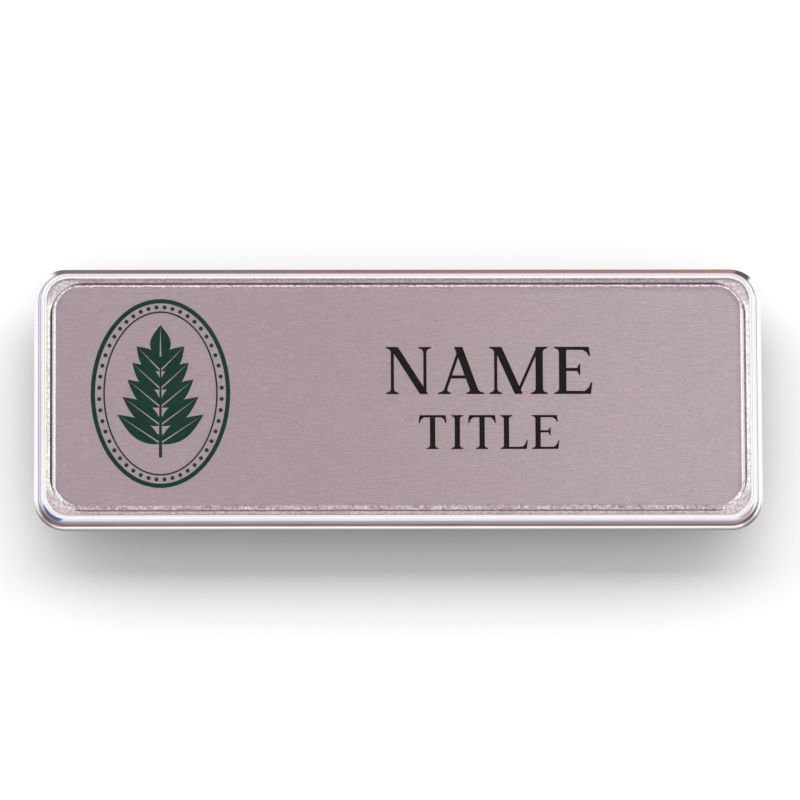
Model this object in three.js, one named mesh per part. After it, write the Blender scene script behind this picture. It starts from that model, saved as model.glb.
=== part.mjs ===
// Name badge: a chrome-plated frame with a brushed metal face plate under a clear cover,
// and a plain magnet bar on its back. It lies face up, resting on the bar.
// Millimetres: +X along the badge's length, +Y up its face, +Z out of its face.
import * as THREE from "three";

// Frame in plan
const BADGE_LENGTH = 70;
const BADGE_WIDTH = 25.4;
const CORNER_RADIUS = 3;
const CORNER_TIGHTENING = 0.7; // how much the rail's corners shrink for each mm further in

// Frame in section, from its outer edge inwards
const FLANGE_EDGE_WIDTH = 0.42; // the flange's rounded outer edge
const FLANGE_EDGE_DROP = 0.3;
const FLANGE_FLAT_WIDTH = 0.05; // from the rounded edge to the foot of the rail
const FLANGE_HEIGHT = 0.8;
const RAIL_FLANK_WIDTH = 0.54; // from the flange up to the rail's crest
const RAIL_SHOULDER_WIDTH = 0.28; // from the crest down to the inner step
const RAIL_DROP = 0.35; // from the crest to the step
const STEP_WIDTH = 0.27;
const STEP_EDGE_RADIUS = 0.06;
const POCKET_CORNER_RADIUS = 2.9; // wider than the rail's corners, so the step broadens there
const BACK_THICKNESS = 1.1;
const BACK_EDGE_RADIUS = 0.25;

// Face plate
const PLATE_THICKNESS = 0.5;
const PLATE_INSET = 0.12; // from the cover's edge to the plate's edge
const PLATE_CORNER_RADIUS = 2.4;

// Clear cover
const COVER_THICKNESS = 0.6;
const COVER_BEVEL_WIDTH = 0.22;
const COVER_BEVEL_DROP = 0.2;
const COVER_CORNER_RADIUS = 2.5;
const COVER_CLEARANCE = 0.2; // to the pocket's straight walls; it narrows in the corners
const COVER_SINK = 0.1; // how far its face lies below the step
const PRINT_CLEARANCE = 0.06; // between the plate and the cover, for the print

// Magnet bar
const BAR_LENGTH = 45;
const BAR_WIDTH = 13;
const BAR_THICKNESS = 4.8;
const BAR_CORNER_RADIUS = 2.5;
const BAR_EDGE_RADIUS = 0.5;

// Fineness of the curves
const CORNER_DIVISIONS = 5;
const EDGE_DIVISIONS = 3;
const RAIL_DIVISIONS = 8;

// Contours, as distances in from the frame's outer edge
const RAIL_INSET = FLANGE_EDGE_WIDTH + FLANGE_FLAT_WIDTH;
const CREST_INSET = RAIL_INSET + RAIL_FLANK_WIDTH;
const STEP_INSET = CREST_INSET + RAIL_SHOULDER_WIDTH;
const POCKET_INSET = STEP_INSET + STEP_WIDTH;
const COVER_INSET = POCKET_INSET + COVER_CLEARANCE;
const FACE_PLATE_INSET = COVER_INSET + PLATE_INSET;

// Levels, measured from the frame's back
const PLATE_TOP = BACK_THICKNESS + PLATE_THICKNESS;
const COVER_BOTTOM = PLATE_TOP + PRINT_CLEARANCE;
const COVER_TOP = COVER_BOTTOM + COVER_THICKNESS;
const STEP_LEVEL = COVER_TOP + COVER_SINK;
const CREST_LEVEL = STEP_LEVEL + RAIL_DROP;

const chrome = new THREE.MeshStandardMaterial({ color: 0xe8e8ec, metalness: 1, roughness: 0.1 });
const brushedMetal = new THREE.MeshStandardMaterial({ color: 0xafa0a4, metalness: 0.9, roughness: 0.4 });
const clearAcrylic = new THREE.MeshStandardMaterial({
  color: 0xf4f4f6,
  metalness: 0,
  roughness: 0.05,
  transparent: true,
  opacity: 0.3,
});
const blackPlastic = new THREE.MeshStandardMaterial({ color: 0x202024, metalness: 0, roughness: 0.6 });

// A rectangle with round corners about the origin, run anticlockwise.
function roundedRectangle(length, width, radius) {
  const x = length / 2 - radius;
  const y = width / 2 - radius;
  const shape = new THREE.Shape();
  shape.absarc(x, y, radius, 0, Math.PI / 2);
  shape.absarc(-x, y, radius, Math.PI / 2, Math.PI);
  shape.absarc(-x, -y, radius, Math.PI, 1.5 * Math.PI);
  shape.absarc(x, -y, radius, 1.5 * Math.PI, 2 * Math.PI);
  return shape;
}

// A contour at a distance in from the badge's outer edge.
function contour(inset, radius) {
  return roundedRectangle(BADGE_LENGTH - 2 * inset, BADGE_WIDTH - 2 * inset, radius);
}

// The frame's corners tighten from its outer edge to the step, and the pocket has its own.
function frameCorner(inset) {
  return inset > STEP_INSET ? POCKET_CORNER_RADIUS : CORNER_RADIUS - CORNER_TIGHTENING * inset;
}

// A closed skin through contours of the badge. Each section point is (inset, level), and the
// first and last contours are closed by flat faces: the first faces down and the last faces up.
function loft(section, cornerAt) {
  const rings = section.map((point) => contour(point.x, cornerAt(point.x)).getPoints(CORNER_DIVISIONS));
  const count = rings[0].length;
  const positions = rings.flatMap((ring, k) => ring.flatMap((p) => [p.x, p.y, section[k].y]));
  const faces = [];
  for (let k = 0; k + 1 < rings.length; k++) {
    for (let i = 0; i < count; i++) {
      const here = k * count + i;
      const next = k * count + ((i + 1) % count);
      faces.push(here, next, next + count);
      faces.push(here, next + count, here + count);
    }
  }
  const last = (rings.length - 1) * count;
  for (const [a, b, c] of THREE.ShapeUtils.triangulateShape(rings[0], [])) {
    faces.push(c, b, a);
  }
  for (const [a, b, c] of THREE.ShapeUtils.triangulateShape(rings.at(-1), [])) {
    faces.push(last + a, last + b, last + c);
  }
  const geometry = new THREE.BufferGeometry();
  geometry.setAttribute("position", new THREE.Float32BufferAttribute(positions, 3));
  geometry.setIndex(faces);
  geometry.computeVertexNormals();
  return geometry;
}

// Points along a quarter of an ellipse, from one angle to the other.
function quarter(inset, level, insetRadius, levelRadius, from, to, divisions) {
  const clockwise = to < from;
  const arc = new THREE.EllipseCurve(inset, level, insetRadius, levelRadius, from, to, clockwise);
  return arc.getPoints(divisions);
}

// The frame's section from the edge of its back, over the flange, rail and step, to the
// foot of the pocket's wall. The creases on both sides of the rail are sharp.
function frameSection() {
  const left = Math.PI;
  const up = Math.PI / 2;
  const down = 1.5 * Math.PI;
  const back = quarter(
    BACK_EDGE_RADIUS, BACK_EDGE_RADIUS, BACK_EDGE_RADIUS, BACK_EDGE_RADIUS, down, left, EDGE_DIVISIONS,
  );
  const flangeEdge = quarter(
    FLANGE_EDGE_WIDTH,
    FLANGE_HEIGHT - FLANGE_EDGE_DROP,
    FLANGE_EDGE_WIDTH,
    FLANGE_EDGE_DROP,
    left,
    up,
    EDGE_DIVISIONS,
  );
  const flank = quarter(
    CREST_INSET, FLANGE_HEIGHT, RAIL_FLANK_WIDTH, CREST_LEVEL - FLANGE_HEIGHT, left, up, RAIL_DIVISIONS,
  );
  const shoulder = quarter(
    CREST_INSET, STEP_LEVEL, RAIL_SHOULDER_WIDTH, RAIL_DROP, up, 0, RAIL_DIVISIONS,
  );
  const stepEdge = quarter(
    POCKET_INSET - STEP_EDGE_RADIUS,
    STEP_LEVEL - STEP_EDGE_RADIUS,
    STEP_EDGE_RADIUS,
    STEP_EDGE_RADIUS,
    up,
    0,
    EDGE_DIVISIONS,
  );
  const pocketFoot = new THREE.Vector2(POCKET_INSET, BACK_THICKNESS);
  return [...back, ...flangeEdge, ...flank, ...shoulder.slice(1), ...stepEdge, pocketFoot];
}

function frame() {
  const mesh = new THREE.Mesh(loft(frameSection(), frameCorner), chrome);
  mesh.name = "frame";
  return mesh;
}

function facePlate() {
  const geometry = new THREE.ExtrudeGeometry(contour(FACE_PLATE_INSET, PLATE_CORNER_RADIUS), {
    depth: PLATE_THICKNESS,
    bevelEnabled: false,
    curveSegments: CORNER_DIVISIONS,
  });
  const mesh = new THREE.Mesh(geometry, brushedMetal);
  mesh.name = "face_plate";
  mesh.position.z = BACK_THICKNESS;
  return mesh;
}

function clearCover() {
  const section = [
    new THREE.Vector2(COVER_INSET, 0),
    new THREE.Vector2(COVER_INSET, COVER_THICKNESS - COVER_BEVEL_DROP),
    new THREE.Vector2(COVER_INSET + COVER_BEVEL_WIDTH, COVER_THICKNESS),
  ];
  const mesh = new THREE.Mesh(loft(section, () => COVER_CORNER_RADIUS), clearAcrylic);
  mesh.name = "clear_cover";
  mesh.position.z = COVER_BOTTOM;
  return mesh;
}

function magnetBar() {
  const outline = roundedRectangle(
    BAR_LENGTH - 2 * BAR_EDGE_RADIUS,
    BAR_WIDTH - 2 * BAR_EDGE_RADIUS,
    BAR_CORNER_RADIUS - BAR_EDGE_RADIUS,
  );
  const geometry = new THREE.ExtrudeGeometry(outline, {
    depth: BAR_THICKNESS - 2 * BAR_EDGE_RADIUS,
    bevelEnabled: true,
    bevelThickness: BAR_EDGE_RADIUS,
    bevelSize: BAR_EDGE_RADIUS,
    bevelSegments: EDGE_DIVISIONS,
    curveSegments: CORNER_DIVISIONS,
  });
  const mesh = new THREE.Mesh(geometry, blackPlastic);
  mesh.name = "magnet_bar";
  mesh.position.z = BAR_EDGE_RADIUS;
  return mesh;
}

const front = new THREE.Group();
front.position.z = BAR_THICKNESS;
front.add(frame(), facePlate(), clearCover());

const badge = new THREE.Group();
badge.add(front, magnetBar());

export default badge;
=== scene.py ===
"""Looks of a framed name badge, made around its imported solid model.

The badge lies face up on its magnet bar. Sizes are in metres, with +X along the badge,
+Y up its face and +Z out of its face. The near side is the one towards -Y.
"""

import math
from functools import partial

import bpy
from bpy.props import FloatProperty, FloatVectorProperty, PointerProperty
from mathutils import Matrix, Vector, geometry


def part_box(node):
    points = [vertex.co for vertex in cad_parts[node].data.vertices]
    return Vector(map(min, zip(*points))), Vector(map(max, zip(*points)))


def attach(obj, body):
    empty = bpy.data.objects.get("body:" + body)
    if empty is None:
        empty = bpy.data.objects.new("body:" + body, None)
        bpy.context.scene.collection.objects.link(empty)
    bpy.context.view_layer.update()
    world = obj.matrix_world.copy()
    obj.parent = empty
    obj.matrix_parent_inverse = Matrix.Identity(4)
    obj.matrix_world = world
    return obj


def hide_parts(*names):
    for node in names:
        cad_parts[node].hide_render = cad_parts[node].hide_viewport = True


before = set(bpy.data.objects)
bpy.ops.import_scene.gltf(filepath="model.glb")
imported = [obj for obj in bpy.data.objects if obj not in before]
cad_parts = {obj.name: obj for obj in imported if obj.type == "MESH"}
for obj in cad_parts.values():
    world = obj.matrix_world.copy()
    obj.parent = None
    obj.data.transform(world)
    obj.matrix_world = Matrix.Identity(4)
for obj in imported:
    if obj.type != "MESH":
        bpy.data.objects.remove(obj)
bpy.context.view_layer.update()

bl_info = {
    "name": "Name Badge",
    "version": (1, 0, 0),
    "blender": (4, 5, 0),
    "location": "View3D > Sidebar > Name Badge",
    "description": "Builds a framed name badge with a brushed plate, a clear cover and printed marks",
    "category": "Object",
}

MM = 0.001
ROOT_BODY = "root"
WHITE = (1.0, 1.0, 1.0)
EVEN = (1.0, 1.0, 1.0)

# Steps round a corner of a contour, and along its long and short sides
CORNER_STEPS = 16
LONG_STEPS = 48
SHORT_STEPS = 16

# Steps along the curves of a section
BACK_EDGE_STEPS = 6
FLANK_STEPS = 18
SHOULDER_STEPS = 14
STEP_EDGE_STEPS = 5
BAR_EDGE_STEPS = 8

CREASE_DEGREES = 32.0


def size_property(name, description, millimetres):
    """A length that is stored in metres."""
    default = millimetres * MM
    return FloatProperty(
        name=name, description=description, default=default, min=0.0, precision=5, unit="LENGTH"
    )


def place_property(name, description, millimetres):
    """A position along an axis, which may be negative."""
    default = millimetres * MM
    return FloatProperty(name=name, description=description, default=default, precision=5, unit="LENGTH")


def colour_property(name, description, colour):
    """A linear colour."""
    return FloatVectorProperty(
        name=name, description=description, default=colour, min=0.0, max=1.0, subtype="COLOR"
    )


def share_property(name, description, share):
    """A share from 0 to 1."""
    return FloatProperty(
        name=name, description=description, default=share, min=0.0, max=1.0, subtype="FACTOR"
    )


def angle_property(name, description, degrees):
    """An angle that is stored in radians."""
    default = math.radians(degrees)
    return FloatProperty(name=name, description=description, default=default, subtype="ANGLE")


class FrameSettings(bpy.types.PropertyGroup):
    """The chrome frame, in section from its outer edge inwards."""

    corner_radius: size_property("Corner radius", "Outer corner of the frame in plan", 3.0)
    corner_tightening: share_property(
        "Corner tightening", "How much a contour's corner shrinks for its distance in", 0.7
    )
    back_edge: size_property("Back edge", "Rounding between the back and the outer wall", 0.25)
    flange_height: size_property("Flange height", "From the back up to the flange", 0.8)
    flange_edge: size_property("Flange edge", "Width of the flange's rounded outer edge", 0.42)
    flange_drop: size_property("Flange drop", "Depth of the flange's rounded outer edge", 0.3)
    flange_flat: size_property("Flange flat", "From the rounded edge to the rail's foot", 0.05)
    rail_flank: size_property("Rail flank", "Width from the flange up to the crest", 0.54)
    rail_shoulder: size_property("Rail shoulder", "Width from the crest down to the step", 0.28)
    rail_drop: size_property("Rail drop", "Height from the crest down to the step", 0.35)
    step_width: size_property("Step width", "Flat between the rail and the pocket", 0.27)
    step_edge: size_property("Step edge", "Rounding where the step meets the pocket", 0.06)
    pocket_radius: size_property("Pocket corner", "Corner of the pocket in plan", 3.32)
    floor_height: size_property("Pocket floor", "Pocket's floor above the back", 1.1)
    waviness: size_property("Waviness", "How far the plated skin wanders from true", 0.02)
    chrome: colour_property("Chrome", "Reflected colour of the plating", (0.94, 0.93, 0.935))
    # Painted dark reflection: a brown band at the foot of the rail, mostly on the near side, where the rail
    # mirrors dark surroundings
    painted_reflection: colour_property("Painted_dark_reflection", "Painted_band at the foot of the rail", (0.26, 0.165, 0.145))
    painted_reflection_height: size_property("Tarnish height", "How far the film climbs the rail", 0.75)
    # Painted reflection of the floor's shadow along the near side's lower edge
    painted_shadow_reflection: colour_property("Painted_shade edge", "Lower edge of the near side", (0.34, 0.31, 0.32))
    # Painted reflection and shade: the well and the pocket take a colour for each side, each end and the
    # corners, for what the satin mirrors each way and the shade in the gap
    well_far: colour_property("Well, far side", "Gap round the cover, far side", (0.85, 0.71, 0.74))
    well_near: colour_property("Well, near side", "Gap round the cover, near side", (1.0, 0.91, 0.93))
    well_left: colour_property("Well, left end", "Gap round the cover, left", (0.27, 0.24, 0.5))
    well_right: colour_property("Well, right end", "Gap round the cover, right", (0.85, 0.78, 0.8))
    pocket_far: colour_property("Pocket, far side", "Satin on the far side", (0.48, 0.39, 0.41))
    shoulder_far: colour_property("Shoulder, far side", "Satin above the far step", (0.78, 0.68, 0.71))
    pocket_near: colour_property("Pocket, near side", "Satin on the near side", (0.49, 0.38, 0.375))
    pocket_left: colour_property("Pocket, left end", "Satin at the left end", (0.86, 0.8, 0.69))
    pocket_right: colour_property("Pocket, right end", "Satin at the right end", (0.88, 0.85, 0.86))
    pocket_corners: colour_property("Pocket, corners", "Satin in the corners", (0.56, 0.49, 0.52))

    @property
    def crest(self):
        """From the outer edge in to the rail's crest."""
        return self.flange_edge + self.flange_flat + self.rail_flank

    @property
    def ledge(self):
        """From the outer edge in to the step."""
        return self.crest + self.rail_shoulder

    def corner_at(self, inset):
        """The corner radius of the contour that lies so far in."""
        if inset > self.ledge + 0.001 * MM:
            return self.pocket_radius
        return self.corner_radius - self.corner_tightening * inset


class PlateSettings(bpy.types.PropertyGroup):
    """The brushed metal plate."""

    corner_radius: size_property("Corner radius", "Corner of the plate in plan", 2.4)
    edge_chamfer: size_property("Edge chamfer", "Sheared edge round the top", 0.04)
    left: colour_property("Left end", "Metal at the left end", (0.564, 0.449, 0.477))
    right: colour_property("Right end", "Metal at the right end", (0.66, 0.545, 0.568))
    # Painted light: paler edges of the plate that make up for the shade the rim casts there
    painted_edge_light: colour_property("Painted_light", "Metal along the far edge", (0.98, 0.8, 0.84))
    roughness: share_property("Roughness", "Roughness between the brush lines", 0.42)
    brush_depth: size_property("Brush depth", "Depth of the brush lines", 0.0015)


class CoverSettings(bpy.types.PropertyGroup):
    """The clear cover."""

    corner_radius: size_property("Corner radius", "Corner of the cover in plan", 2.5)
    bevel_width: size_property("Bevel width", "Width of the bevelled rim", 0.22)
    bevel_drop: size_property("Bevel drop", "Height of the bevelled rim", 0.2)
    haze_width: size_property("Haze width", "Hazy margin inside the bevel", 0.25)
    frost_near: size_property("Frost near", "Frosting inside the near side's bevel", 0.17)
    frost_ends: size_property("Frost ends", "Frosting inside the bevel at the ends", 0.1)
    glass_index: FloatProperty(
        name="Refractive index", description="Sets how much the face reflects", default=1.49, min=1.0
    )
    rim: colour_property("Rim", "Colour of the frosted rim", (0.8, 0.7, 0.73))
    haze: colour_property("Haze", "Colour of the hazy margin", (0.42, 0.34, 0.36))
    # Painted shade on the near side of the rim and painted light at its ends
    shaded_rim_near: colour_property("Rim, near side", "Rim on the near side", (0.44, 0.39, 0.405))
    lit_rim_left: colour_property("Rim, left end", "Rim at the left end", (0.95, 0.99, 0.97))
    lit_rim_right: colour_property("Rim, right end", "Rim at the right end", (1.0, 0.96, 0.97))
    rim_cover: share_property("Rim cover", "How much the frosted rim hides", 0.9)


class BarSettings(bpy.types.PropertyGroup):
    """The magnet bar on the back."""

    corner_radius: size_property("Corner radius", "Corner of the bar in plan", 2.5)
    edge_radius: size_property("Edge radius", "Rounding of the bar's edges", 0.5)
    grain: size_property("Grain", "Depth of the moulded texture", 0.02)
    plastic: colour_property("Plastic", "Colour of the moulded plastic", (0.018, 0.018, 0.02))


class PrintSettings(bpy.types.PropertyGroup):
    """The ornament and the two lines of capitals."""

    sink: size_property("Sink", "How far the ink reaches into the plate", 0.01)
    height: size_property("Height", "How far the ink stands above the plate", 0.025)
    green: colour_property("Green ink", "Colour of the ornament", (0.013, 0.077, 0.045))
    black: colour_property("Black ink", "Colour of the capitals", (0.012, 0.009, 0.014))
    ornament_x: place_property("Ornament X", "Middle of the ornament along the badge", -22.85)
    ornament_y: place_property("Ornament Y", "Middle of the ornament up the face", 0.45)
    ornament_width: size_property("Ornament width", "Across the oval ring", 13.4)
    ornament_height: size_property("Ornament height", "Up the oval ring", 18.4)
    line_x: place_property("Line X", "Middle of both lines along the badge", 8.7)
    upper_baseline: place_property("Upper baseline", "Foot of the upper line", 0.35)
    upper_capital: size_property("Upper capital", "Height of the upper line", 4.6)
    lower_baseline: place_property("Lower baseline", "Foot of the lower line", -5.0)
    lower_capital: size_property("Lower capital", "Height of the lower line", 3.3)


class StageSettings(bpy.types.PropertyGroup):
    """The camera, the floor and the light."""

    lean_near: angle_property("Lean near", "Camera's lean from overhead to the near side", 9.5)
    lean_left: angle_property("Lean left", "Camera's lean from overhead to the left", 1.2)
    roll: angle_property("Roll", "Camera's turn about its own axis", -0.26)
    distance: size_property("Distance", "From the badge to the camera", 900.0)
    view_width: size_property("View width", "Width of the picture at the badge", 76.8)
    aim_x: place_property("Aim X", "Point under the picture's middle, along the badge", 0.139)
    aim_y: place_property("Aim Y", "Point under the picture's middle, up the face", -0.33)
    floor_size: size_property("Floor size", "Side of the square floor", 6000.0)
    floor_gap: size_property("Floor gap", "Hair's breadth between the floor and the bar", 0.01)
    floor: colour_property("Floor", "Colour of the pale floor", (0.86, 0.86, 0.86))
    key_rise: angle_property("Key rise", "Height of the soft light above the floor", 48.0)
    key_distance: size_property("Key distance", "From the badge to the soft light", 600.0)
    key_length: size_property("Key length", "Soft light's side along the badge", 2000.0)
    key_depth: size_property("Key depth", "Soft light's other side", 320.0)
    key_side: place_property("Key side", "How far the soft light stands to the right", 40.0)
    key_power: FloatProperty(
        name="Key power", description="Power of the soft light", default=6.55, unit="POWER"
    )
    ambient: FloatProperty(
        name="Ambient", description="Brightness of the pale room", default=0.72, min=0.0
    )
    bounced: FloatProperty(
        name="Bounced", description="Brightness of the gloss as the floor sees it", default=0.15, min=0.0
    )


class Socket:
    """A value in a shader. Arithmetic on it adds Math nodes."""

    def __init__(self, graph, socket):
        self.graph = graph
        self.socket = socket

    def output(self, name):
        """Another output of the same node."""
        return Socket(self.graph, self.socket.node.outputs[name])

    def math(self, operation, *operands):
        """A Math node on these operands."""
        settings = {"operation": operation}
        return self.graph.node("ShaderNodeMath", settings, dict(enumerate(operands)))

    def __neg__(self):
        return self.math("MULTIPLY", self, -1.0)

    def __abs__(self):
        return self.math("ABSOLUTE", self)

    def __add__(self, other):
        return self.math("ADD", self, other)

    def __sub__(self, other):
        return self.math("SUBTRACT", self, other)

    def __rsub__(self, other):
        return self.math("SUBTRACT", other, self)

    def __mul__(self, other):
        return self.math("MULTIPLY", self, other)

    __radd__ = __add__
    __rmul__ = __mul__

    def at_least(self, other):
        """The larger of two values."""
        return self.math("MAXIMUM", self, other)

    def at_most(self, other):
        """The smaller of two values."""
        return self.math("MINIMUM", self, other)

    def ramp(self, low, high):
        """0 below one value, 1 above the other and a smooth rise between them."""
        settings = {"interpolation_type": "SMOOTHSTEP"}
        inputs = {"Value": self, "From Min": low, "From Max": high}
        return self.graph.node("ShaderNodeMapRange", settings, inputs)

    def towards(self, edge, start, full):
        """A ramp that starts and is full so many millimetres before an edge."""
        return self.ramp(edge - start * MM, edge - full * MM)


class Graph:
    """The node tree of a material or of the world."""

    def __init__(self, owner):
        owner.use_nodes = True
        self.tree = owner.node_tree
        self.tree.nodes.clear()

    def node(self, kind, settings=None, inputs=None, output=0):
        """Adds a node: its settings first, then the values or links of its inputs."""
        node = self.tree.nodes.new(kind)
        for name, value in (settings or {}).items():
            setattr(node, name, value)
        for name, value in (inputs or {}).items():
            if isinstance(value, Socket):
                self.tree.links.new(value.socket, node.inputs[name])
            else:
                node.inputs[name].default_value = value
        return Socket(self, node.outputs[output]) if node.outputs else None

    def toned(self, colour, tone, dark, pale):
        """A colour that a tone from 0 to 1 takes from a darker share to a paler one."""
        return self.mix(1.0, colour, self.mix(tone, grey(dark), grey(pale)), "MULTIPLY")

    def mix(self, factor, first, second, blend="MIX"):
        """A colour made of two colours."""
        settings = {"data_type": "RGBA", "blend_type": blend}
        inputs = {0: factor, 6: with_alpha(first), 7: with_alpha(second)}
        return self.node("ShaderNodeMix", settings, inputs, output=2)

    def place(self, scale=EVEN):
        """The object's own coordinates, scaled along each axis."""
        coordinates = self.node("ShaderNodeTexCoord", output="Object")
        return self.node("ShaderNodeMapping", None, {"Vector": coordinates, "Scale": scale})

    def split(self, vector):
        """The X, Y and Z of a vector."""
        x = self.node("ShaderNodeSeparateXYZ", None, {"Vector": vector})
        return x, x.output("Y"), x.output("Z")

    def vector(self, operation, first, second=(0.0, 0.0, 0.0), output=0):
        """A Vector Math node."""
        settings = {"operation": operation}
        return self.node("ShaderNodeVectorMath", settings, {0: first, 1: second}, output)

    def distance_in(self, half, radius):
        """How far a point lies inside a rectangle with round corners, in plan."""
        middle = (half.x - radius, half.y - radius, 1.0)
        past = self.vector("SUBTRACT", self.vector("ABSOLUTE", self.place()), middle)
        x, y, _ = self.split(past)
        beyond = self.vector("LENGTH", self.vector("MAXIMUM", past), output="Value")
        return radius - beyond - x.at_least(y).at_most(0.0)

    def noise(self, scale, detail=2.0, roughness=0.5, stretch=EVEN):
        """A noise with that many features to the metre."""
        inputs = {"Vector": self.place(stretch), "Scale": scale, "Detail": detail, "Roughness": roughness}
        return self.node("ShaderNodeTexNoise", None, inputs)

    def brush_lines(self):
        """Short straight strokes along the plate."""
        return self.noise(5.0, 3.0, 0.65, stretch=(90.0, 1150.0, 1.0))

    def bump(self, height, depth, **more):
        """A normal from a height that runs from 0 to 1, over a real depth."""
        return self.node("ShaderNodeBump", None, {"Height": height, "Distance": depth, **more})

    def principled(self, inputs):
        """The shader of a solid surface, led to the output."""
        shader = self.node("ShaderNodeBsdfPrincipled", None, inputs)
        self.node("ShaderNodeOutputMaterial", None, {"Surface": shader})

    def see_through(self, share, inputs):
        """The shader of a clear surface that a share of the light glints on, led to the output."""
        clear = self.node("ShaderNodeBsdfTransparent")
        glint = self.node("ShaderNodeBsdfAnisotropic", None, inputs)
        shader = self.node("ShaderNodeMixShader", None, {0: share, 1: clear, 2: glint})
        self.node("ShaderNodeOutputMaterial", None, {"Surface": shader})


def with_alpha(colour):
    """A colour with full alpha, or a link as it is."""
    return colour if isinstance(colour, Socket) else (*colour, 1.0)


def grey(level):
    """A colour without a tint."""
    return (level, level, level)


def shade(colour, share):
    """A colour made darker or lighter."""
    return tuple(min(1.0, share * part) for part in colour)


def new_material(name):
    """A material and its empty node tree."""
    material = bpy.data.materials.new(name)
    return material, Graph(material)


def chrome_material(settings, half, foot):
    """Polished plating that wanders a little, with a painted dark brown reflection at the foot of the rail,
    mostly on the near side, and a painted reflection of the floor's shadow along the near side's lower edge.
    """
    material, graph = new_material("polished_chrome")
    swell = graph.noise(190.0, 1.0)
    pits = graph.noise(2200.0, 2.0)
    haze = graph.noise(700.0, 3.0)
    cloud = graph.noise(160.0, 2.0)
    skin = graph.bump(swell, settings.waviness)
    plating = graph.mix(cloud.ramp(0.3, 0.75), settings.chrome, shade(settings.chrome, 0.96))
    x, y, z = graph.split(graph.place())
    height = settings.painted_reflection_height
    near = (-y).towards(half.y, 3.2, 1.5)
    left = (-x).towards(half.x, 2.6, 1.4)
    corner = near * (-x).towards(half.x, 3.4, 1.8)
    low = (z + 0.06 * MM * corner).towards(foot, 0.09, 0.05)
    low = low * (1 - z.ramp(foot + 0.8 * height, foot + 1.3 * height))
    # Painted dark reflection at the rail's foot, on the near side and a little at the left end
    painted_reflection_mask = low * (near + 0.1 * left * (1 - near)) * (0.85 + 0.15 * cloud)
    # Painted reflection of the floor's shadow on the near side, below the flange top
    edge = near * (1 - z.towards(foot, 0.24, 0.14))
    coloured = graph.mix(painted_reflection_mask, plating, settings.painted_reflection)
    graph.principled(
        {
            "Base Color": graph.mix(edge, coloured, settings.painted_shadow_reflection),
            "Metallic": 1.0,
            "Roughness": 0.05 + 0.06 * haze.ramp(0.45, 0.8),
            "Normal": graph.bump(pits, 0.0006 * MM, Normal=skin),
        }
    )
    return material


def satin_material(name, colour_in, metallic, roughness, dark=0.52, pale=1.4):
    """A grainy satin finish, as in the pocket and on the back."""
    material, graph = new_material(name)
    grain = graph.noise(3800.0, 3.0, 0.65)
    cloud = graph.noise(500.0, 2.0)
    tone = 0.6 * grain.ramp(0.35, 0.68) + 0.4 * cloud
    graph.principled(
        {
            "Base Color": graph.toned(colour_in(graph), tone, dark, pale),
            "Metallic": metallic,
            "Roughness": roughness - 0.12 * grain,
            "Normal": graph.bump(grain, 0.012 * MM),
        }
    )
    return material


def pocket_colour(half, step_line, shoulder, sides, graph):
    """A colour that changes from side to side of the pocket, as painted reflection and shade.

    The sides are the colours of its far side, near side, left end, right end and corners.
    The shoulder's colour takes over above the step line on the far side.
    """
    far, near, left, right, corners = sides
    x, y, _ = graph.split(graph.place())
    side = graph.mix(y.ramp(-half.y, half.y), near, far)
    side = graph.mix(y.towards(step_line, 0.08, -0.06), side, shoulder)
    ends = graph.mix(x.ramp(-half.x, half.x), left, right)
    end = abs(x).towards(half.x, 4.0, 1.8)
    corner = abs(x).towards(half.x, 5.0, 3.5) * abs(y).towards(half.y, 4.0, 3.0)
    return graph.mix(corner, graph.mix(end, side, ends), corners)


def brushed_material(settings, half):
    """Metal brushed along its length, paler towards its right end, with painted light along its edges,
    strongest at the far edge and none at the near one, that makes up for the shade of the rim.
    """
    material, graph = new_material("brushed_metal")
    lines = graph.brush_lines()
    fine = graph.noise(6.0, 3.0, 0.6, stretch=(330.0, 1500.0, 1.0))
    grain = graph.noise(5.0, 2.0, 0.6, stretch=(700.0, 1100.0, 1.0))
    ticks = graph.noise(5.0, 2.0, 0.5, stretch=(130.0, 1200.0, 2.0)).ramp(0.62, 0.72)
    cloud = graph.noise(3.0, 2.0, stretch=(20.0, 60.0, 1.0))
    x, y, _ = graph.split(graph.place())
    metal = graph.mix(x.ramp(-0.35 * half.x, half.x), settings.left, settings.right)
    # Painted light along the plate's edges, strongest at the far edge and none at the near one
    painted_edge_light = 1 - graph.distance_in(half, settings.corner_radius).ramp(0.1 * MM, 0.6 * MM)
    far = y.towards(half.y, 1.5, 0.7)
    painted_edge_light = painted_edge_light * y.ramp(-0.9 * half.y, -0.6 * half.y) * (0.5 + 0.5 * far)
    metal = graph.mix(painted_edge_light, metal, settings.painted_edge_light)
    brush = 0.5 * lines + 0.5 * fine
    tone = 0.25 * lines.ramp(0.34, 0.66) + 0.4 * fine.ramp(0.32, 0.68)
    tone = tone + 0.25 * grain.ramp(0.3, 0.7) + 0.1 * cloud + 0.45 * ticks
    graph.principled(
        {
            "Base Color": graph.toned(metal, tone, 0.81, 1.17),
            "Metallic": 1.0,
            "Roughness": settings.roughness + 0.1 * fine,
            "Normal": graph.bump(brush, settings.brush_depth),
        }
    )
    return material


def clear_material(glass_index):
    """Clear and polished: see-through, with a thin reflection on top."""
    material, graph = new_material("clear_face")
    smear = graph.noise(120.0, 3.0)
    fresnel = graph.node("ShaderNodeFresnel", None, {"IOR": glass_index})
    roughness = 0.02 + 0.03 * smear.ramp(0.4, 0.8)
    graph.see_through(fresnel, {"Color": with_alpha(WHITE), "Roughness": roughness})
    return material


def underside_material():
    """The cover's underside, which only lets light through."""
    material, graph = new_material("clear_underside")
    smear = graph.noise(120.0, 3.0)
    graph.see_through(0.004 * smear, {"Roughness": 0.1})
    return material


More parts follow.
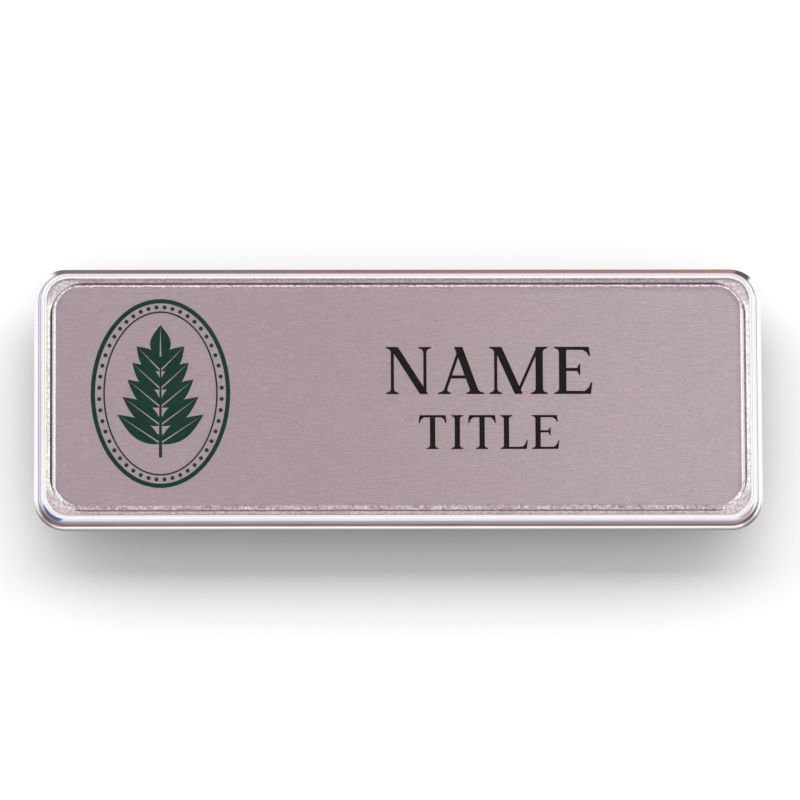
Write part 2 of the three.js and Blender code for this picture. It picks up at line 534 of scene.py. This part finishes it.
def rim_material(settings, half):
    """The frosted rim: pale grains with darker specks, fading to a thin haze further in, with painted shade
    on the near side and painted light at both ends.
    """
    material, graph = new_material("frosted_rim")
    grain = graph.noise(4600.0, 2.0, 0.6)
    chips = graph.noise(2200.0, 3.0, 0.6)
    tone = 0.55 * grain.ramp(0.38, 0.66) + 0.45 * chips.ramp(0.35, 0.65)
    x, y, _ = graph.split(graph.place())
    end = abs(x).towards(half.x, 2.4, 0.9)
    near = (-y).towards(half.y, 2.2, 1.2)
    inside = graph.distance_in(half, settings.corner_radius) - settings.bevel_width
    ragged = inside + 0.45 * MM * (chips - 0.5) * (1 - 0.75 * end)
    ragged = ragged - settings.frost_near * near - settings.frost_ends * end
    frosted = 1 - ragged.ramp(-0.02 * MM, 0.04 * MM)
    hazy = 0.62 * (1 - inside.ramp(0.0, settings.haze_width))
    near = near * inside.ramp(-0.05 * MM, 0.05 * MM)
    # Painted shade on the near side and painted light at the ends
    side = graph.mix(near, settings.rim, settings.shaded_rim_near)
    ends = graph.mix(x.ramp(-half.x, half.x), settings.lit_rim_left, settings.lit_rim_right)
    corner = abs(y).towards(half.y, 3.2, 2.2)
    ends = graph.mix(corner, ends, graph.toned(ends, tone, 0.5, 1.2))
    rim = graph.mix(end, graph.toned(side, tone, 0.38, 1.52), ends)
    haze = graph.toned(settings.haze, tone, 0.92, 1.06)
    cover = frosted * (settings.rim_cover - 0.2 * (1 - tone))
    graph.principled(
        {
            "Base Color": graph.mix(frosted, haze, rim),
            "Roughness": 0.45 - 0.2 * chips,
            "Alpha": cover.at_least(hazy),
            "Normal": graph.bump(grain, 0.008 * MM),
        }
    )
    return material


def plastic_material(settings):
    """Black moulded plastic with a fine grain and paler rubbed patches."""
    material, graph = new_material("moulded_plastic")
    grain = graph.noise(2600.0, 3.0, 0.6)
    worn = 0.5 * graph.noise(220.0, 3.0).ramp(0.5, 0.8)
    graph.principled(
        {
            "Base Color": graph.mix(worn, settings.plastic, shade(settings.plastic, 2.4)),
            "Roughness": 0.5 + 0.18 * grain - 0.12 * worn,
            "Normal": graph.bump(grain, settings.grain),
        }
    )
    return material


def ink_material(name, colour):
    """Satin ink that takes a little of the brushed lines under it."""
    material, graph = new_material(name)
    lines = graph.brush_lines()
    mottle = graph.noise(900.0, 2.0)
    tone = 0.6 * lines + 0.4 * mottle
    graph.principled(
        {
            "Base Color": graph.mix(tone.ramp(0.3, 0.7), shade(colour, 0.85), shade(colour, 1.2)),
            "Roughness": 0.45 + 0.1 * mottle,
            "Specular IOR Level": 0.12,
            "Normal": graph.bump(lines, 0.001 * MM),
        }
    )
    return material


def board_material(settings):
    """Pale matt board with a faint tooth."""
    material, graph = new_material("pale_board")
    tooth = graph.noise(700.0, 3.0)
    graph.principled(
        {
            "Base Color": graph.mix(tooth, shade(settings.floor, 0.985), settings.floor),
            "Roughness": 0.85 + 0.1 * tooth,
            "Specular IOR Level": 0.0,
            "Normal": graph.bump(tooth, 0.01 * MM),
        }
    )
    return material


def arc(centre_x, centre_y, radius_x, radius_y, start, end, steps):
    """Points along part of an ellipse, with the angles in degrees."""
    angles = [math.radians(start + (end - start) * step / steps) for step in range(steps + 1)]
    return [(centre_x + radius_x * math.cos(a), centre_y + radius_y * math.sin(a)) for a in angles]


def rounded_rectangle(half_length, half_width, radius):
    """Points round a rectangle with round corners, anticlockwise, with its sides divided."""
    across = half_length - radius
    up = half_width - radius
    centres = [(across, up), (-across, up), (-across, -up), (across, -up)]
    corners = [
        arc(x, y, radius, radius, 90 * quarter, 90 * quarter + 90, CORNER_STEPS)
        for quarter, (x, y) in enumerate(centres)
    ]
    points = []
    for quarter, corner in enumerate(corners):
        start = Vector(corner[-1])
        end = Vector(corners[(quarter + 1) % 4][0])
        steps = SHORT_STEPS if quarter % 2 else LONG_STEPS
        points += corner
        points += [tuple(start.lerp(end, step / steps)) for step in range(1, steps)]
    return points


def loft(half_size, section, corner_at):
    """A closed skin through contours of a rectangle, from a section of (inset, level) points.

    Gives its vertices, its faces and the number of the band that each face lies in. The
    first contour's end face has band -2 and the last one's has band -1.
    """
    rings = []
    for inset, level in section:
        ring = rounded_rectangle(half_size.x - inset, half_size.y - inset, corner_at(inset))
        rings.append([(x, y, level) for x, y in ring])
    count = len(rings[0])
    vertices = [point for ring in rings for point in ring]
    faces = [tuple(reversed(range(count)))]
    bands = [-2]
    for band in range(len(rings) - 1):
        for i in range(count):
            here = band * count + i
            beside = band * count + (i + 1) % count
            faces.append((here, beside, beside + count, here + count))
            bands.append(band)
    faces.append(tuple(range(len(vertices) - count, len(vertices))))
    bands.append(-1)
    return vertices, faces, bands


def add_object(name, data):
    """Puts a mesh, a camera or a light in the scene."""
    added = bpy.data.objects.new(name, data)
    bpy.context.scene.collection.objects.link(added)
    return added


def add_piece(name, skin, finishes, replaced=None):
    """Makes a mesh that rides on the badge.

    The finishes are (material, bands) pairs, and the first one covers what is left over.
    Bands are shaded smooth, apart from creases, and end faces are shaded flat.
    """
    vertices, faces, bands = skin
    mesh = bpy.data.meshes.new(name)
    mesh.from_pydata(vertices, [], faces)
    if mesh.validate():
        raise RuntimeError(f"{name} has a bad mesh")
    for number, (material, covered) in enumerate(finishes):
        mesh.materials.append(material)
        for polygon, band in zip(mesh.polygons, bands):
            if band in covered:
                polygon.material_index = number
    mesh.set_sharp_from_angle(angle=math.radians(CREASE_DEGREES))
    mesh.polygons.foreach_set("use_smooth", [band >= 0 for band in bands])
    piece = add_object(name, mesh)
    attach(piece, ROOT_BODY)
    if replaced:
        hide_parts(replaced)


def half_of(node):
    """Half of a node's size along each axis."""
    low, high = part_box(node)
    return (high - low) / 2


def frame_section(s, low, high):
    """The frame's section, from its back over the flange and the rail down into the pocket."""
    flange = low + s.flange_height
    step = high - s.rail_drop
    pocket = s.ledge + s.step_width
    edge = s.step_edge
    section = arc(s.back_edge, low + s.back_edge, s.back_edge, s.back_edge, 270, 180, BACK_EDGE_STEPS)
    section += [(0, flange - s.flange_drop), (s.flange_edge, flange)]
    section += arc(s.crest, flange, s.rail_flank, high - flange, 180, 90, FLANK_STEPS)
    section += arc(s.crest, step, s.rail_shoulder, s.rail_drop, 90, 0, SHOULDER_STEPS)[1:]
    section += arc(pocket - edge, step - edge, edge, edge, 90, 0, STEP_EDGE_STEPS)
    return section + [(pocket, low + s.floor_height)]


class BADGE_OT_frame(bpy.types.Operator):
    """Builds the chrome frame with its flange, rail, step and pocket"""

    bl_idname = "badge.frame"
    bl_label = "Frame"

    def execute(self, context):
        s = context.scene.badge_frame
        low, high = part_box("frame")
        half = half_of("frame")
        section = frame_section(s, low.z, high.z)
        skin = loft(half, section, s.corner_at)
        # The satin step runs from half-way down the shoulder, and the well from just above the wall
        edge = len(section) - 3
        well = (edge, edge + 1, -1)
        shoulder = edge - STEP_EDGE_STEPS - SHOULDER_STEPS // 2
        chrome = chrome_material(s, half, low.z + s.flange_height)
        colour = partial(pocket_colour, half, half.y - s.ledge, s.shoulder_far)
        # Painted reflection and shade, a colour for each side of the step and of the well
        step_sides = (s.pocket_far, s.pocket_near, s.pocket_left, s.pocket_right, s.pocket_corners)
        well_sides = (s.well_far, s.well_near, s.well_left, s.well_right, s.well_near)
        step_finish = satin_material("satin_step", partial(colour, step_sides), 0.2, 0.5)
        well_finish = satin_material("satin_well", partial(colour, well_sides), 0.2, 0.5)
        back_finish = satin_material(
            "satin_back", lambda graph: shade(s.chrome, 0.75), 1.0, 0.42, dark=0.66, pale=1.26
        )
        finishes = [
            (chrome, ()),
            (step_finish, range(shoulder, edge)),
            (well_finish, well),
            (back_finish, (-2,)),
        ]
        add_piece("frame_shell", skin, finishes, "frame")
        return {"FINISHED"}


class BADGE_OT_plate(bpy.types.Operator):
    """Builds the brushed plate with its sheared edge"""

    bl_idname = "badge.plate"
    bl_label = "Face plate"

    def execute(self, context):
        s = context.scene.badge_plate
        low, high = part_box("face_plate")
        section = [(s.edge_chamfer, low.z), (0, low.z + s.edge_chamfer)]
        section += [(0, high.z - s.edge_chamfer), (s.edge_chamfer, high.z)]
        half = half_of("face_plate")
        skin = loft(half, section, lambda inset: s.corner_radius - inset)
        brushed = brushed_material(s, half)
        add_piece("brushed_plate", skin, [(brushed, ())], "face_plate")
        return {"FINISHED"}


class BADGE_OT_cover(bpy.types.Operator):
    """Builds the clear cover with its frosted rim"""

    bl_idname = "badge.cover"
    bl_label = "Clear cover"

    def execute(self, context):
        s = context.scene.badge_cover
        low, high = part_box("clear_cover")
        half = half_of("clear_cover")
        hazed = s.bevel_width + s.haze_width
        section = [(0, low.z), (0, high.z - s.bevel_drop), (s.bevel_width, high.z), (hazed, high.z)]
        skin = loft(half, section, lambda inset: s.corner_radius - inset)
        finishes = [
            (rim_material(s, half), ()),
            (clear_material(s.glass_index), (-1,)),
            (underside_material(), (-2,)),
        ]
        add_piece("cover_lens", skin, finishes, "clear_cover")
        return {"FINISHED"}


class BADGE_OT_bar(bpy.types.Operator):
    """Builds the plain magnet bar on the back"""

    bl_idname = "badge.bar"
    bl_label = "Magnet bar"

    def execute(self, context):
        s = context.scene.badge_bar
        low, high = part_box("magnet_bar")
        edge = s.edge_radius
        section = arc(edge, low.z + edge, edge, edge, 270, 180, BAR_EDGE_STEPS)
        section += arc(edge, high.z - edge, edge, edge, 180, 90, BAR_EDGE_STEPS)
        skin = loft(half_of("magnet_bar"), section, lambda inset: s.corner_radius - inset)
        add_piece("bar_body", skin, [(plastic_material(s), ())], "magnet_bar")
        return {"FINISHED"}


# Parts of a capital, as shares of its height
STEM = 0.155
HAIR = 0.066
DIAGONAL = STEM * 1.12
SERIF = 0.032
SERIF_REACH = 0.1
SERIF_STEPS = 4
BRACKET = 0.08
BEAK_LEAN = 0.03
BEAK_SLOPE = 0.13
BEAK_BEND = (0.35, 0.4)
MIDDLE_TIP = 0.02
MIDDLE_SLOPE = 0.07


def bar(left, right, low, high):
    """An upright rectangle."""
    return [(left, low), (right, low), (right, high), (left, high)]


def slant(x_low, x_high, width):
    """A slanting stroke from the baseline to the top, with its width measured level."""
    half = width / 2
    return [(x_low - half, 0), (x_low + half, 0), (x_high + half, 1), (x_high - half, 1)]


def serif(x, width, level, left=1, right=1, lean=0):
    """A bracketed serif on a stroke's left, on its right or on both sides.

    The stroke's lean is how far it moves to the right for its rise.
    """
    up = 1 if level == 0 else -1
    half = width / 2
    outline = []
    for side, wanted in ((1, right), (-1, left)):
        reach = SERIF_REACH * wanted
        curve = []
        for step in range(SERIF_STEPS + 1):
            a = step * math.pi / 2 / SERIF_STEPS
            rise = SERIF + BRACKET * (1 - math.cos(a))
            beside = half + reach * (1 - math.sin(a))
            curve.append((x + lean * rise + side * beside, level + up * rise))
        edge = [(x + side * (half + reach), level), *curve]
        outline += edge if side == 1 else edge[::-1]
    return outline


def arm(start, end, level, beak):
    """A thin arm along the top or the baseline, ending in a beak."""
    up = 1 if level == 0 else -1
    side = math.copysign(1, end - start)
    along, rise = BEAK_BEND
    return [
        (start, level),
        (end, level),
        (end + side * BEAK_LEAN, level + up * beak),
        (end, level + up * beak),
        (end - side * along * BEAK_SLOPE, level + up * (HAIR + rise * (beak - HAIR))),
        (end - side * BEAK_SLOPE, level + up * HAIR),
        (start, level + up * HAIR),
    ]


def middle_arm(start, end, level, beak):
    """The short arm of an E, with its beak on both sides."""
    half = HAIR / 2
    edge = [(start, half), (end - MIDDLE_SLOPE, half), (end - MIDDLE_TIP, beak), (end, beak)]
    return [(x, level - y) for x, y in edge] + [(x, level + y) for x, y in reversed(edge)]


def stem(x, width=STEM):
    """An upright stroke from the baseline to the top."""
    return bar(x - width / 2, x + width / 2, 0, 1)


# The widths and the strokes of the capitals, as shares of their height
WIDTHS = {"A": 1.06, "E": 0.93, "I": 0.52, "L": 0.92, "M": 1.36, "N": 1.1, "T": 0.92}
STROKES = {
    "A": [
        slant(0.19, 0.53, HAIR),
        slant(0.85, 0.49, DIAGONAL),
        bar(0.3, 0.74, 0.33, 0.33 + HAIR),
        serif(0.19, HAIR, 0, lean=0.34),
        serif(0.85, DIAGONAL, 0, lean=-0.36),
    ],
    "E": [
        stem(0.25),
        serif(0.25, STEM, 0, right=0),
        serif(0.25, STEM, 1, right=0),
        arm(0.2, 0.8, 1, 0.2),
        arm(0.2, 0.84, 0, 0.25),
        middle_arm(0.25, 0.62, 0.52, 0.12),
    ],
    "I": [stem(0.26), serif(0.26, STEM, 0), serif(0.26, STEM, 1)],
    "L": [stem(0.25), serif(0.25, STEM, 0, right=0), serif(0.25, STEM, 1), arm(0.2, 0.84, 0, 0.27)],
    "M": [
        stem(0.21, HAIR),
        slant(0.69, 0.25, STEM * 1.1),
        slant(0.66, 1.1, HAIR),
        stem(1.12),
        serif(0.21, HAIR, 0),
        serif(0.21, HAIR, 1, right=0),
        serif(1.12, STEM, 0),
        serif(1.12, STEM, 1, left=0),
    ],
    "N": [
        stem(0.21, HAIR),
        slant(0.87, 0.24, DIAGONAL),
        stem(0.89, HAIR),
        serif(0.21, HAIR, 0),
        serif(0.21, HAIR, 1, right=0),
        serif(0.89, HAIR, 1),
    ],
    "T": [stem(0.46), serif(0.46, STEM, 0), arm(0.46, 0.84, 1, 0.24), arm(0.46, 0.08, 1, 0.24)],
}


def line_of_capitals(word, middle, baseline, height):
    """The strokes of a word, centred about its middle."""
    width = sum(WIDTHS[letter] for letter in word)
    start = middle - width * height / 2
    strokes = []
    for letter in word:
        for stroke in STROKES[letter]:
            strokes.append([(start + height * x, baseline + height * y) for x, y in stroke])
        start += height * WIDTHS[letter]
    return strokes


# Counts of the ornament's parts and of their sides
RING_STEPS = 120
DISC_SIDES = 14
LEAF_STEPS = 14
LEAF_PAIRS = 5
BEADS = 48

# Sizes of the ornament's parts
OUTER_RING = 0.42 * MM
INNER_RING = 0.16 * MM
INNER_RING_INSET = 1.2 * MM
BEAD_INSET = 0.81 * MM
BEAD_RADIUS = 0.2 * MM
SPRIG_INSET = 1.4 * MM
STALK_FOOT = 0.16 * MM
STALK_TIP = 0.07 * MM
LEAF_WIDTH = 1.75 * MM
TOP_LEAF_WIDTH = 1.9 * MM
BERRY_RISE = 1.35 * MM
BERRY_RADIUS = 0.3 * MM
MIDRIB = 0.045
BELLY = 0.85


def oval_ring(half_width, half_height, thickness):
    """A flat oval ring, as a strip of four-sided pieces."""
    outer = arc(0, 0, half_width, half_height, 0, 360, RING_STEPS)
    inner = arc(0, 0, half_width - thickness, half_height - thickness, 0, 360, RING_STEPS)
    return [[outer[i], outer[i + 1], inner[i + 1], inner[i]] for i in range(RING_STEPS)]


def disc(x, y, radius):
    """A small round dot."""
    return arc(x, y, radius, radius, 0, 360 - 360 / DISC_SIDES, DISC_SIDES - 1)


def leaf(x, y, degrees, length, width):
    """A pointed leaf in two halves, with a fine slit along its midrib."""
    turn = Matrix.Rotation(math.radians(degrees), 2)
    halves = []
    for side in (1, -1):
        along = [step / LEAF_STEPS for step in range(LEAF_STEPS + 1)]
        rib = [(length * t, side * MIDRIB * width * (1 - t)) for t in along]
        belly = [side * 0.5 * width * math.sin(math.pi * t**BELLY) for t in along]
        edge = [(x_rib, y_rib + out) for (x_rib, y_rib), out in zip(rib, belly)]
        outline = rib + edge[::-1][1:-1]
        halves.append([tuple(Vector((x, y)) + turn @ Vector(point)) for point in outline[::side]])
    return halves


def sprig(half_height):
    """An upright sprig: a tapering stalk with paired leaves, berries and one leaf on top."""
    foot = -0.8 * half_height
    top = 0.46 * half_height
    shapes = [[(-STALK_FOOT, foot), (STALK_FOOT, foot), (STALK_TIP, top), (-STALK_TIP, top)]]
    for pair in range(LEAF_PAIRS):
        share = pair / (LEAF_PAIRS - 1)
        joint = foot + (0.14 + 0.72 * share) * (top - foot)
        length = (5.0 - 1.7 * share) * MM
        degrees = 34 + 12 * share
        for heading in (degrees, 180 - degrees):
            shapes += leaf(0, joint, heading, length, LEAF_WIDTH)
        berry_y = joint + BERRY_RISE
        for side in (-1, 1):
            berry_x = side * (1.25 - 0.35 * share) * MM
            stalk = [(0, -0.75 * MM), (0, -0.6 * MM), (berry_x, 0.08 * MM), (berry_x, -0.05 * MM)]
            shapes.append([(x, berry_y + y) for x, y in stalk])
            shapes.append(disc(berry_x, berry_y, BERRY_RADIUS))
    return shapes + leaf(0, top - 0.2 * MM, 90, 0.42 * half_height, TOP_LEAF_WIDTH)


def ornament(width, height):
    """A sprig in an oval of beads between two rings."""
    half_width = width / 2
    half_height = height / 2
    shapes = oval_ring(half_width, half_height, OUTER_RING)
    shapes += oval_ring(half_width - INNER_RING_INSET, half_height - INNER_RING_INSET, INNER_RING)
    for bead in range(BEADS):
        angle = 2 * math.pi * (bead + 0.5) / BEADS
        x = (half_width - BEAD_INSET) * math.cos(angle)
        y = (half_height - BEAD_INSET) * math.sin(angle)
        shapes.append(disc(x, y, BEAD_RADIUS))
    return shapes + sprig(half_height - SPRIG_INSET)


# Points of the print that lie this near each other are one point, in millimetres
MERGE_DISTANCE = 0.00001


def printed_skin(shapes, low, high):
    """A thin flat layer of ink over the union of flat shapes, joined up in millimetres."""
    points = []
    outlines = []
    for shape in shapes:
        turning = sum(x0 * y1 - x1 * y0 for (x0, y0), (x1, y1) in zip(shape, shape[1:] + shape[:1]))
        outlines.append(list(range(len(points), len(points) + len(shape))))
        points += [Vector((x / MM, y / MM)) for x, y in shape[:: 1 if turning > 0 else -1]]
    merged = geometry.delaunay_2d_cdt(points, [], outlines, 0, MERGE_DISTANCE, True)
    flat, _, triangles, _, _, sources = merged
    inked = [list(triangle) for triangle, source in zip(triangles, sources) if source]
    edges = {(t[i], t[(i + 1) % len(t)]) for t in inked for i in range(len(t))}
    rim = [(a, b) for a, b in edges if (b, a) not in edges]
    used = {v: i for i, v in enumerate(sorted({v for t in inked for v in t}))}
    count = len(used)
    vertices = [(flat[v].x * MM, flat[v].y * MM, level) for level in (low, high) for v in used]
    faces = [[used[v] for v in reversed(t)] for t in inked]
    faces += [[used[v] + count for v in t] for t in inked]
    faces += [[used[a], used[b], used[b] + count, used[a] + count] for a, b in sorted(rim)]
    return vertices, faces, [-1] * len(faces)


def add_print(s, name, shapes, ink):
    """Prints flat shapes on the plate, as ink that reaches a little into it."""
    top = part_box("face_plate")[1].z
    add_piece(name, printed_skin(shapes, top - s.sink, top + s.height), [(ink, ())])


class BADGE_OT_ornament(bpy.types.Operator):
    """Prints the green ornament on the plate"""

    bl_idname = "badge.ornament"
    bl_label = "Ornament"

    def execute(self, context):
        s = context.scene.badge_print
        shapes = [
            [(x + s.ornament_x, y + s.ornament_y) for x, y in shape]
            for shape in ornament(s.ornament_width, s.ornament_height)
        ]
        green = ink_material("green_ink", s.green)
        add_print(s, "printed_ornament", shapes, green)
        return {"FINISHED"}


class BADGE_OT_lines(bpy.types.Operator):
    """Prints the two lines of capitals on the plate"""

    bl_idname = "badge.lines"
    bl_label = "Lines"

    def execute(self, context):
        s = context.scene.badge_print
        black = ink_material("black_ink", s.black)
        lines = {
            "printed_upper_line": ("NAME", s.upper_baseline, s.upper_capital),
            "printed_lower_line": ("TITLE", s.lower_baseline, s.lower_capital),
        }
        for name, (word, baseline, height) in lines.items():
            strokes = line_of_capitals(word, s.line_x, baseline, height)
            add_print(s, name, strokes, black)
        return {"FINISHED"}


# What shines back from the room round the badge. A list is a colour and the cards that lie
# on it in order, each with where it comes in and where it is full along some directions.
FAR_CARD = [
    (0.2, 0.165, 0.19),
    ((0.43, 0.25, 0.2), {"right": (-0.042, 0.073)}),
    ((0.13, 0.1, 0.11), {"right": (0.15, 0.3)}),
    ((0.3, 0.26, 0.25), {"left": (0.15, 0.45)}),
]
LEFT_GROUND = [
    (0.94, 0.95, 0.98),
    ((0.62, 0.56, 0.74), {"down": (0.45, 0.95)}),
]
GROUND = [
    (0.86, 0.85, 0.98),
    ((0.34, 0.26, 0.28), {"down": (0.55, 0.95)}),
    (LEFT_GROUND, {"left": (0.35, 0.6)}),
    ((1.02, 0.99, 1.02), {"right": (0.3, 0.5)}),
    ((1.0, 0.95, 1.02), {"far": (0.17, 0.3)}),
    ((0.1, 0.15, 0.3), {"left": (0.12, 0.3), "near": (0.12, 0.3), "down": (0.1, 0.35)}),
    ((0.48, 0.4, 0.42), {"right": (0.3, 0.5), "near": (0.12, 0.3), "down": (0.1, 0.35)}),
    ((0.32, 0.3, 0.32), {"down": (0.94, 0.98)}),
    (FAR_CARD, {"far": (0.2, 0.32), "down": (0.66, 0.78)}),
]
ROOM = [
    (1.06, 1.06, 1.06),
    ((1.02, 1.04, 1.08), {"left": (0.4, 0.8)}),
    (GROUND, {"down": (0.0, 0.12)}),
    (FAR_CARD, {"up": (0.0, 0.06), "down": (-0.34, -0.26), "far": (0.72, 0.79), "right": (-0.44, -0.24)}),
    ((0.62, 0.55, 0.55), {"side": (0.35, 0.55), "near": (0.3, 0.5), "up": (0.1, 0.2), "down": (-0.6, -0.5)}),
    ((0.12, 0.11, 0.12), {"mirrored": (0.99, 0.996)}),
]

# The direction that a level surface mirrors to the camera
MIRRORED = (0.021, 0.165, 0.986)


def laid_colour(graph, directions, surface):
    """The colour of a surface with its cards on it."""
    if not isinstance(surface, list):
        return surface
    colour, *cards = surface
    for card, reaches in cards:
        shares = [directions[name].ramp(low, high) for name, (low, high) in reaches.items()]
        colour = graph.mix(math.prod(shares), colour, laid_colour(graph, directions, card))
    return colour


class BADGE_OT_stage(bpy.types.Operator):
    """Sets up the camera, the pale floor and the soft light"""

    bl_idname = "badge.stage"
    bl_label = "Stage"

    def execute(self, context):
        s = context.scene.badge_stage
        context.scene.view_settings.view_transform = "Standard"
        context.scene.camera = self.add_camera(s)
        self.add_floor(s)
        self.add_key(s)
        context.scene.world = self.pale_room(s)
        return {"FINISHED"}

    @staticmethod
    def add_camera(s):
        """A long lens over the badge, leaning a little to the near side and to the left."""
        camera = bpy.data.cameras.new("camera")
        camera.lens = camera.sensor_width * s.distance / s.view_width
        camera.clip_end = 10.0
        towards = Vector((-math.tan(s.lean_left), -math.tan(s.lean_near), 1.0)).normalized()
        right = Vector((0.0, 1.0, 0.0)).cross(towards).normalized()
        turn = Matrix((right, towards.cross(right), towards)).transposed()
        turn = turn @ Matrix.Rotation(s.roll, 3, "Z")
        aim = Vector((s.aim_x, s.aim_y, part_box("clear_cover")[1].z))
        eye = add_object("camera", camera)
        eye.matrix_world = Matrix.Translation(aim + s.distance * towards) @ turn.to_4x4()
        return eye

    @staticmethod
    def add_floor(s):
        """A pale square under the bar."""
        half = s.floor_size / 2
        mesh = bpy.data.meshes.new("floor")
        corners = [(-half, -half), (half, -half), (half, half), (-half, half)]
        mesh.from_pydata([(x, y, -s.floor_gap) for x, y in corners], [], [(0, 1, 2, 3)])
        mesh.materials.append(board_material(s))
        floor = add_object("floor", mesh)
        floor.visible_glossy = False

    @staticmethod
    def add_key(s):
        """A big soft light above the far side."""
        light = bpy.data.lights.new("key", "AREA")
        light.shape = "RECTANGLE"
        light.size = s.key_length
        light.size_y = s.key_depth
        light.energy = s.key_power
        key = add_object("key", light)
        away = Vector((0.0, math.cos(s.key_rise), math.sin(s.key_rise)))
        key.location = s.key_distance * away + Vector((s.key_side, 0.0, 0.0))
        key.rotation_euler = (s.key_rise - math.pi / 2, 0.0, 0.0)
        key.visible_camera = False
        key.visible_glossy = False

    @staticmethod
    def pale_room(s):
        """A white room with darker and tinted cards round it, which only the gloss shows."""
        world = bpy.data.worlds.new("pale_room")
        graph = Graph(world)
        x, y, z = graph.split(graph.node("ShaderNodeTexCoord", output="Generated"))
        across, along, out = MIRRORED
        directions = {
            "left": -x,
            "right": x,
            "side": abs(x),
            "near": -y,
            "far": y,
            "down": -z,
            "up": z,
            "mirrored": across * x + along * y + out * z,
        }
        room = laid_colour(graph, directions, ROOM)
        glossy = graph.node("ShaderNodeLightPath", output="Is Glossy Ray")
        again = glossy * glossy.output("Diffuse Depth")
        light = graph.mix(glossy, grey(s.ambient), room)
        light = graph.mix(again, light, grey(s.bounced))
        seen = graph.mix(glossy.output("Is Camera Ray"), light, WHITE)
        background = graph.node("ShaderNodeBackground", None, {"Color": seen})
        graph.node("ShaderNodeOutputWorld", None, {"Surface": background})
        return world


class BADGE_PT_panel(bpy.types.Panel):
    """Lists what builds the badge, with its sizes and colours"""

    bl_idname = "BADGE_PT_panel"
    bl_label = "Name Badge"
    bl_space_type = "VIEW_3D"
    bl_region_type = "UI"
    bl_category = "Name Badge"

    def draw(self, context):
        for operator in OPERATORS:
            self.layout.operator(operator.bl_idname, text=operator.bl_label)
        for attribute, group in GROUPS.items():
            box = self.layout.box()
            box.label(text=attribute.replace("badge_", "").capitalize())
            for name in group.__annotations__:
                box.prop(getattr(context.scene, attribute), name)


GROUPS = {
    "badge_frame": FrameSettings,
    "badge_plate": PlateSettings,
    "badge_cover": CoverSettings,
    "badge_bar": BarSettings,
    "badge_print": PrintSettings,
    "badge_stage": StageSettings,
}
OPERATORS = [
    BADGE_OT_frame,
    BADGE_OT_plate,
    BADGE_OT_cover,
    BADGE_OT_bar,
    BADGE_OT_ornament,
    BADGE_OT_lines,
    BADGE_OT_stage,
]


def register():
    for cls in (*GROUPS.values(), *OPERATORS, BADGE_PT_panel):
        bpy.utils.register_class(cls)
    for attribute, group in GROUPS.items():
        setattr(bpy.types.Scene, attribute, PointerProperty(type=group))


def unregister():
    for attribute in GROUPS:
        delattr(bpy.types.Scene, attribute)
    for cls in (BADGE_PT_panel, *reversed(OPERATORS), *GROUPS.values()):
        bpy.utils.unregister_class(cls)


def main():
    register()
    bpy.ops.badge.frame()
    bpy.ops.badge.plate()
    bpy.ops.badge.cover()
    bpy.ops.badge.bar()
    bpy.ops.badge.ornament()
    bpy.ops.badge.lines()
    bpy.ops.badge.stage()


if __name__ == "__main__":
    main()
